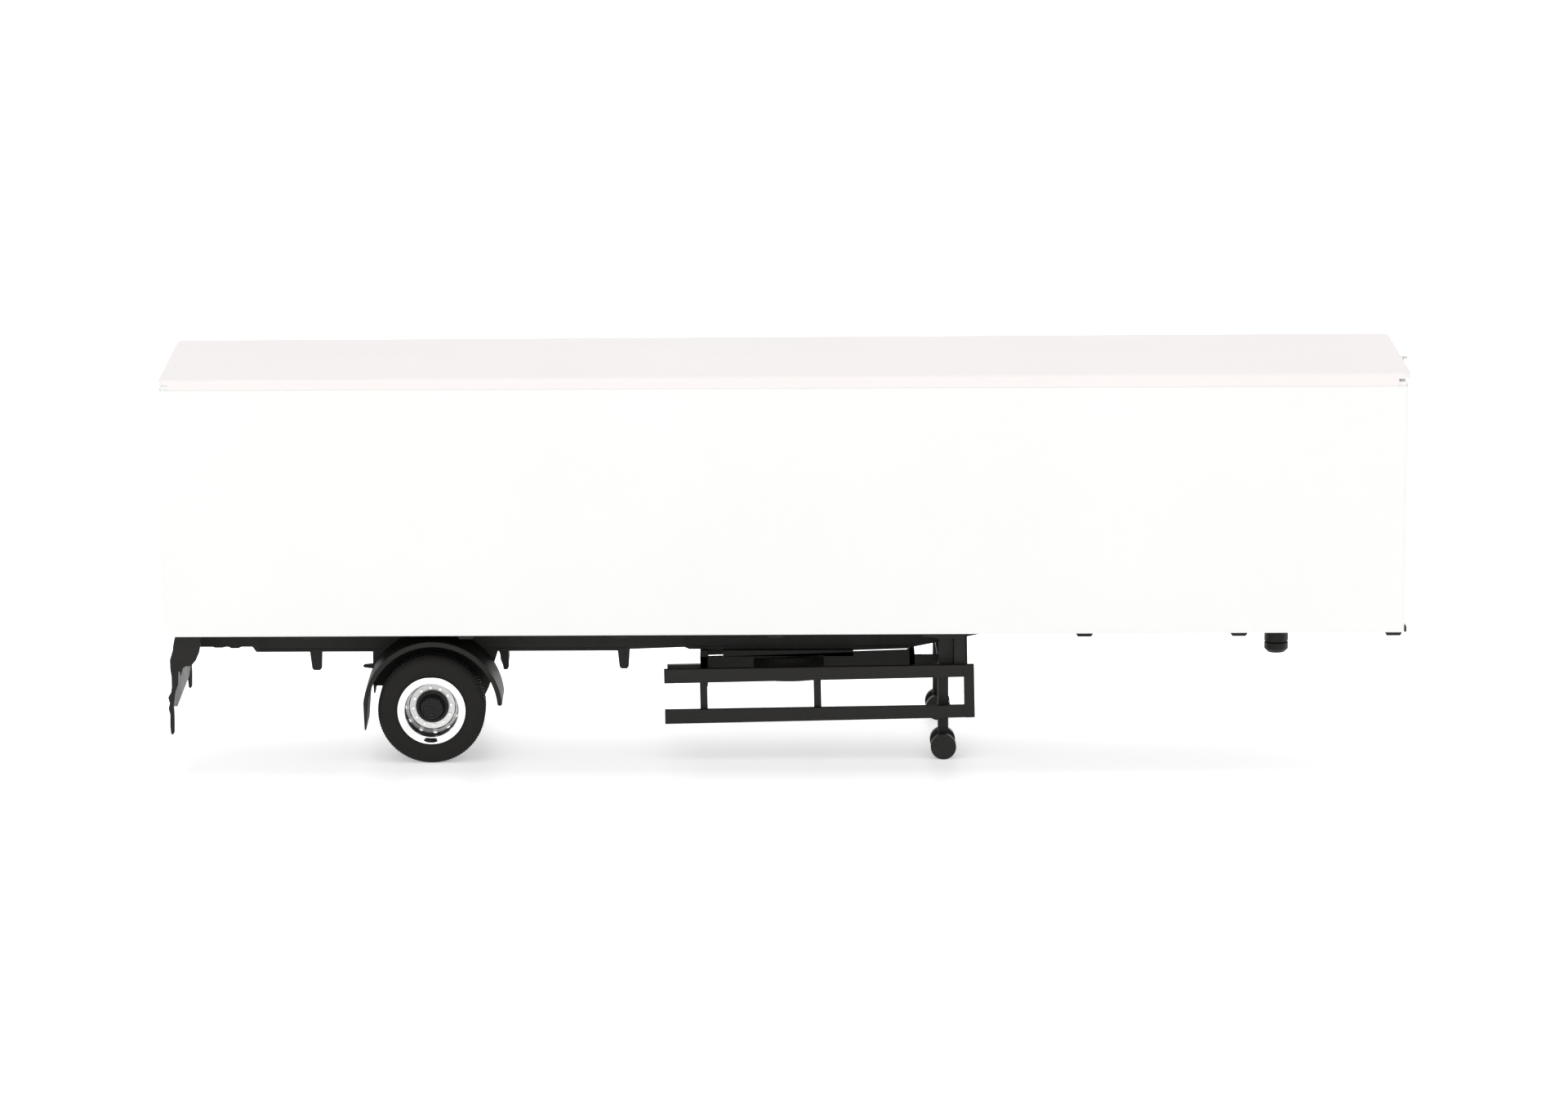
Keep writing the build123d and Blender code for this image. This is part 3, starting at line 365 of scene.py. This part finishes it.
side_tone, lug_highlight_tone = (0.0076, 0.0071, 0.0058, 1), (0.060, 0.058, 0.055, 1)
tread = Paint("tyre tread")
ahead, above = tread.along("X") - axle.x, tread.along("Z") - axle.z
reach_squared = ahead * ahead + above * above
# Painted highlight: a paler tone on the tops of the lugs, where their edges catch light.
painted_lug_highlight = tread.rise(reach_squared, (tyre_radius - 0.035) ** 2, (tyre_radius - 0.01) ** 2)
tread_grain = tread.noise(0.14, 2.0)
tread_black = tread.surface(
    Base_Color=tread.mix(painted_lug_highlight, side_tone, lug_highlight_tone),
    Roughness=tread_grain * 0.08 + 0.59,
    Specular_IOR_Level=0.22,
    Normal=tread.bump(tread_grain, 0.03, 0.8),
)

# %% [markdown]
# ## Bright plating
# The rims are plated plastic: a mirror with the faint unevenness of the moulding under it. The flat disc at
# the bottom of the dish comes from a rougher part of the mould, so the roughness changes with the depth. The
# disc also gets a much darker tone than the dish: painted shade that dims what it mirrors.

# %% Chrome
matt_depth, polish_over = 2.60, 0.12
disc_shaded_tone, dish_tone = (0.58, 0.575, 0.57, 1), (0.96, 0.96, 0.955, 1)
plate = Paint("rim chrome")
matt_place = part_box("tyre_left")[1][1] / MM - matt_depth
polished_and_unshaded = plate.rise(abs(plate.along("Y")), matt_place, matt_place + polish_over)
pits = plate.noise(0.12, 2.0) * (1 - polished_and_unshaded) + plate.noise(0.8, 1.0) * 0.15
rim_chrome = plate.surface(
    # Painted shade: the disc at the bottom of the dish gets a much darker tone than the dish.
    Base_Color=plate.mix(polished_and_unshaded, disc_shaded_tone, dish_tone),
    Metallic=1.0,
    Roughness=0.34 - polished_and_unshaded * 0.31 + plate.noise(0.6, 2.0) * 0.03,
    Normal=plate.bump(pits, 0.01, 0.5),
)
print("polished beyond, in mm from the middle:", round(matt_place, 2))

# %% [markdown]
# ## The clip at the front, pale above and black below
# The tab that stands in front of the lid is white plastic like the body, and the sill at the foot of the
# same clip is as black as the chassis. The tab is given a light grey, darker than the body's white, which
# paints the shade it stands in. The finish changes with the height, just above the sill.

# %% Clip in two tones
sill_height, change_over = 0.92, 0.05
tab_white_with_shade = (0.70, 0.69, 0.68, 1)
clip = Paint("front clip")
sill_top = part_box("front_wall")[0][2] / MM + sill_height
pale = clip.rise(clip.along("Z"), sill_top, sill_top + change_over)
two_tone = clip.surface(
    # Painted shade: the tab's white plastic is given as a light grey.
    Base_Color=clip.mix(pale, chassis_tone, tab_white_with_shade),
    Roughness=clip.noise(3.0, 3.0) * 0.10 + 0.36,
    Normal=clip.bump(clip.noise(0.10, 2.0), 0.01, 0.4),
)
print("the clip is pale above, in mm:", round(sill_top, 2))

# %% [markdown]
# ## One finish for each node
# The record names a slot for each node, and the slot says which finish it gets. Three nodes differ: the
# clip, and the two bars in the groove under the lid's ends, which are as white as the body.

# %% Every node gets its finish
finishes = {
    "body_white": body_white,
    "roof_white": roof_white,
    "chassis_black": chassis_black,
    "tyre_black": tyre_black,
    "hub_black": hub_black,
    "rim_chrome": rim_chrome,
}
pale_pieces = {"end_cap_rear": body_white, "end_cap_front": body_white, "front_clip": two_tone}
for part in frame["record"]["subparts"]:
    mesh = nodes[part["node"]].data
    mesh.materials.clear()
    mesh.materials.append(pale_pieces.get(part["node"], finishes[part["material_slot"]]))
print("finishes:", ", ".join(finishes))

# %% [markdown]
# ## Turned pieces
# Tyres, rims and hubs are round, so each starts as a section: a few points of depth and radius. Spin
# carries the section once around the axle. Where a section touches the axle its points fall together, and
# they are merged, so the piece is closed. Small chamfers in the sections give every edge the soft line of
# light that a moulded edge has.

# %% Helpers for turned pieces
same_point = 0.0005 * MM
sharp_from = radians(32)


def turned(rows, steps):
    """A closed solid of revolution about Y, from rows of depth and radius in mm."""
    shape = bmesh.new()
    points = [shape.verts.new((radius * MM, depth * MM, 0)) for depth, radius in rows]
    lines = [shape.edges.new(pair) for pair in zip(points, points[1:] + points[:1])]
    bmesh.ops.spin(shape, geom=points + lines, cent=(0, 0, 0), axis=(0, 1, 0), dvec=(0, 0, 0),
                   angle=2 * pi, steps=steps, use_merge=True, use_duplicate=False)
    bmesh.ops.remove_doubles(shape, verts=shape.verts, dist=same_point)
    bmesh.ops.dissolve_degenerate(shape, edges=shape.edges, dist=same_point)
    bmesh.ops.recalc_face_normals(shape, faces=shape.faces)
    return shape


def ring(count, radius, depth, turn):
    """The angles and places, in mm, of things that stand in a ring round the axle."""
    for place in range(count):
        angle = radians(turn + 360 / count * place)
        yield angle, Vector((radius * cos(angle), depth, radius * sin(angle)))


def finished(shape, name, material, slot, body, *stands_for):
    """Turns a bmesh into an object that rides on a body and stands for a node."""
    made = to_object(shape, name)
    made.data.shade_smooth()
    made.data.set_sharp_from_angle(angle=sharp_from)
    made.data.materials.append(material)
    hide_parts(*stands_for)
    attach(made, body)
    print(name, "faces:", len(made.data.polygons))


def both_sides(build, name, material, slot):
    """Makes a wheel piece for the right side and its mirror image for the left."""
    for side, turn in (("right", 1), ("left", -1)):
        low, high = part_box(f"tyre_{side}")
        middle = (Vector(low) + Vector(high)) / 2
        face_y = low[1] if side == "right" else high[1]
        shape = build()
        bmesh.ops.scale(shape, vec=(1, turn, 1), verts=shape.verts)
        bmesh.ops.translate(shape, vec=(middle.x, face_y, middle.z), verts=shape.verts)
        bmesh.ops.recalc_face_normals(shape, faces=shape.faces)
        node = name.format(side)
        finished(shape, f"{node}_detailed", material, slot, "wheelset", node)


# %% [markdown]
# ## Tyres with moulded tread
# The real tyre is one soft moulding with a smooth ring at each shoulder, about a hundred small lugs behind
# it and three rows of blocks between them. Modelling each lug on its own would be slow. Here the spun
# carcass has two strips of faces for every lug. Every second strip is extruded and scaled away from the
# axle. The rows next to the shoulders take the strips that the shoulders leave out, so the blocks are
# staggered.

# %% Tyres
lug_count, lug_height = 108, 0.12
tread_radius, bead_radius = tyre_radius - lug_height, 3.93
tread_least = 5.9
shoulder_row, inner_row, middle_row = (0.48, 1.02), (1.10, 1.58), 1.66
half_section = [
    (0.34, bead_radius - 0.02), (0.22, bead_radius + 0.02), (0.12, 4.10), (0.05, 4.34), (0.01, 4.64),
    (0.0, 4.95), (0.02, 5.24), (0.06, 5.50), (0.12, 5.72), (0.20, 5.88), (0.27, 5.98),
    (0.35, tyre_radius - 0.10), (0.42, tyre_radius - 0.04),
    *((depth, tread_radius) for depth in (*shoulder_row, *inner_row, middle_row)),
]


def tyre_shape(width=tyre_width):
    """Half a section and its mirror image, spun, with the lugs raised."""
    section = half_section + [(width - depth, radius) for depth, radius in reversed(half_section)]
    shape = turned(section, 2 * lug_count)

    def raise_lugs(first, *rows):
        lugs = []
        for face in shape.faces:
            centre = face.calc_center_median() / MM
            strip = int((atan2(centre.z, centre.x) % (2 * pi)) / (pi / lug_count))
            outside = (centre.x ** 2 + centre.z ** 2) ** 0.5 > tread_least
            in_row = any(low < centre.y < high for low, high in rows)
            if in_row and outside and strip % 2 == first:
                lugs.append(face)
        raised = bmesh.ops.extrude_face_region(shape, geom=lugs)["geom"]
        tops = [item for item in raised if isinstance(item, bmesh.types.BMVert)]
        growth = tyre_radius / tread_radius
        bmesh.ops.scale(shape, vec=(growth, 1, growth), verts=tops)

    for first, (low, high) in enumerate((shoulder_row, inner_row)):
        raise_lugs(first, (low, high), (width - high, width - low))
    raise_lugs(0, (middle_row, width - middle_row))
    return shape


both_sides(tyre_shape, "tyre_{}", tread_black, "tyre_black")

# %% [markdown]
# ## Plated rims
# A deep dish catches the whole room. The wide band near its edge is almost flat, so it mirrors the white
# behind the camera and, at its foot, the camera. The wall below mirrors the black hub. So the section
# matters more than the finish: a rolled lip, the band, a step, and a steep wall down to the flat disc,
# where twelve nuts with their studs stand in a ring.

# %% Rims
disc_depth = 2.70
rim_section = [
    (0.30, 3.93), (0.06, 3.93), (0.015, 3.915), (0.0, 3.88), (0.005, 3.84), (0.025, 3.80), (0.05, 3.75),
    (0.07, 3.67), (0.145, 3.26), (0.17, 3.18), (0.21, 3.13), (0.30, 3.105), (0.42, 3.09), (0.62, 3.07),
    (0.66, 3.04), (0.72, 3.02), (2.20, 2.76), (2.48, 2.71), (2.61, 2.67), (2.68, 2.62), (disc_depth, 2.56),
    (disc_depth, 1.20), (3.30, 0.80), (3.30, 2.90), (4.20, 3.58), (4.40, 3.70), (4.40, 3.90), (4.20, 3.93),
]
nut_count, nut_ring_radius, nut_turn = 12, 2.20, 5
nut_sides, nut_radius, nut_height = 6, 0.225, 0.20
stud_sides, stud_radius, stud_height = 10, 0.10, 0.36
taper = 0.72


def rim_shape():
    shape = turned(rim_section, 144)
    for angle, spot in ring(nut_count, nut_ring_radius, disc_depth, nut_turn):
        stand = Matrix.Translation(spot * MM) @ Matrix.Rotation(angle, 4, "Y") @ Matrix.Rotation(pi / 2, 4, "X")
        for sides, radius, height in (
            (nut_sides, nut_radius, nut_height),
            (stud_sides, stud_radius, stud_height),
        ):
            bmesh.ops.create_cone(shape, cap_ends=True, segments=sides, radius1=radius * MM,
                                  radius2=taper * radius * MM, depth=2 * height * MM, matrix=stand)
    return shape


both_sides(rim_shape, "wheel_rim_{}", rim_chrome, "rim_chrome")

# %% [markdown]
# ## Hubs
# The black hub is pushed through the disc: a flange, a deep groove and a cap whose face carries a raised
# edge, a ring of small bolt heads and a dimple in the middle.

# %% Hubs
cap_depth = 1.30
hub_section = [
    (disc_depth, 0), (disc_depth, 1.88), (2.42, 1.88), (2.34, 1.82), (2.30, 1.74), (2.30, 1.52), (2.36, 1.44),
    (2.42, 1.38), (2.42, 1.30), (1.36, 1.24), (1.24, 1.18), (1.20, 1.08), (1.22, 0.99), (cap_depth, 0.95),
    (cap_depth, 0.34), (1.22, 0.30), (1.21, 0.20), (1.28, 0.13), (1.32, 0),
]
bolt_count, bolt_ring_radius, bolt_turn, bolt_radius = 8, 0.64, 20, 0.12


def hub_shape():
    shape = turned(hub_section, 96)
    for _, spot in ring(bolt_count, bolt_ring_radius, cap_depth, bolt_turn):
        bmesh.ops.create_uvsphere(shape, u_segments=10, v_segments=6, radius=bolt_radius * MM,
                                  matrix=Matrix.Translation(spot * MM))
    return shape


both_sides(hub_shape, "hub_{}", hub_black, "hub_black")

# %% [markdown]
# ## The spare wheel
# It lies flat in its carrier and is moulded in plain black. Its tread shows through the window in the
# carrier's side, and its dish faces the ground, so it is the same tyre, narrower, turned onto its side.

# %% Spare wheel
spare_low, spare_high = (Vector(corner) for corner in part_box("spare_tyre"))
spare_width = (spare_high.z - spare_low.z) / MM
spare_place = Vector(((spare_low.x + spare_high.x) / 2, 0, spare_low.z))
spare_section = [
    (0.20, 3.93), (0.03, 3.90), (0.0, 3.80), (0.06, 3.70), (0.50, 3.30), (0.60, 3.05), (1.70, 2.88),
    (1.80, 2.70), (1.80, 1.60), (1.30, 1.45), (1.30, 0.66), (spare_width, 0.66), (spare_width, 3.80),
    (spare_width - 0.2, 3.93),
]
for name, shape, finish, slot_name in (
    ("spare_tyre", tyre_shape(spare_width), tyre_black, "tyre_black"),
    ("spare_rim", turned(spare_section, 96), chassis_black, "chassis_black"),
):
    bmesh.ops.rotate(shape, cent=(0, 0, 0), matrix=Matrix.Rotation(pi / 2, 3, "X"), verts=shape.verts)
    bmesh.ops.translate(shape, vec=spare_place, verts=shape.verts)
    bmesh.ops.recalc_face_normals(shape, faces=shape.faces)
    finished(shape, f"{name}_detailed", finish, slot_name, "chassis", name)

# %% [markdown]
# ## The spare wheel's carrier, with an open tongue
# In the picture a small white gap shows between the carrier's front, the rail and the landing leg. The
# carrier is made again at its own size: a frame of four panels tipped nose up with a window on each side,
# the neck plate, two risers and the stud. Only the tongue to the legs differs: it is two strips and a bar.

# %% The carrier's sizes in mm, and its heights over its lowest point
carrier_low, carrier_high = (Vector(corner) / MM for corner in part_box("spare_carrier"))
frame_length, frame_height, frame_tilt = 24.90, 2.70, radians(1.70)
panel, side_y, strip = 0.60, 7.40, 0.80
window_rear, window_front, window_sill, window_head = 6.20, 14.35, 0.90, 2.40
riser_width, bar_width, neck_start, neck_end = 0.82, 1.66, 2.60, 17.70
frame_foot, strip_foot, neck_foot = (carrier_low.z + height for height in (0.65, 2.65, 3.40))
frame_rear = carrier_low.x + frame_height * sin(frame_tilt)
frame_front = frame_rear + frame_length * cos(frame_tilt)
print("carrier's frame from rear to front:", round(frame_rear, 2), round(frame_front, 2))


# %% Carrier
def block(shape, low, high, turn=Matrix()):
    """A box between two corners in mm."""
    low, high = Vector(low) * MM, Vector(high) * MM
    place = Matrix.Translation((low + high) / 2) @ Matrix.Diagonal((*(high - low), 1))
    bmesh.ops.create_cube(shape, size=1, matrix=turn @ place)


carrier = bmesh.new()
frame_place = Vector((frame_rear, 0, frame_foot)) * MM
nose_up = Matrix.Translation(frame_place) @ Matrix.Rotation(-frame_tilt, 4, "Y")
for rear, front in ((0, panel), (frame_length - panel, frame_length)):
    block(carrier, (rear, -side_y, 0), (front, side_y, frame_height), nose_up)
for inner, outer in ((-side_y, panel - side_y), (side_y - panel, side_y)):
    for rear, front, foot, head in (
        (0, frame_length, 0, window_sill),
        (0, window_rear, window_sill, window_head),
        (window_front, frame_length, window_sill, window_head),
        (0, frame_length, window_head, frame_height),
    ):
        block(carrier, (rear, inner, foot), (front, outer, head), nose_up)
for inner, outer in ((-side_y, strip - side_y), (side_y - strip, side_y)):
    block(carrier, (frame_rear, inner, frame_foot + panel), (frame_rear + riser_width, outer, carrier_high.z))
    block(carrier, (frame_front - panel, inner, strip_foot), (carrier_high.x, outer, strip_foot + strip))
block(carrier, (frame_rear + neck_start, -side_y, neck_foot), (frame_rear + neck_end, side_y, carrier_high.z))
block(carrier, (carrier_high.x - bar_width, carrier_low.y, strip_foot),
      (carrier_high.x, carrier_high.y, strip_foot + strip))

pin_radius, pin_foot = 0.60 * MM, carrier_low.z
pin_place = Matrix.Translation((spare_place.x, 0, (pin_foot + neck_foot) / 2 * MM))
bmesh.ops.create_cone(carrier, cap_ends=True, segments=32, radius1=pin_radius, radius2=pin_radius,
                      depth=(neck_foot - pin_foot) * MM, matrix=pin_place)
bmesh.ops.recalc_face_normals(carrier, faces=carrier.faces)
finished(carrier, "spare_carrier_open", chassis_black, "chassis_black", "chassis", "spare_carrier")
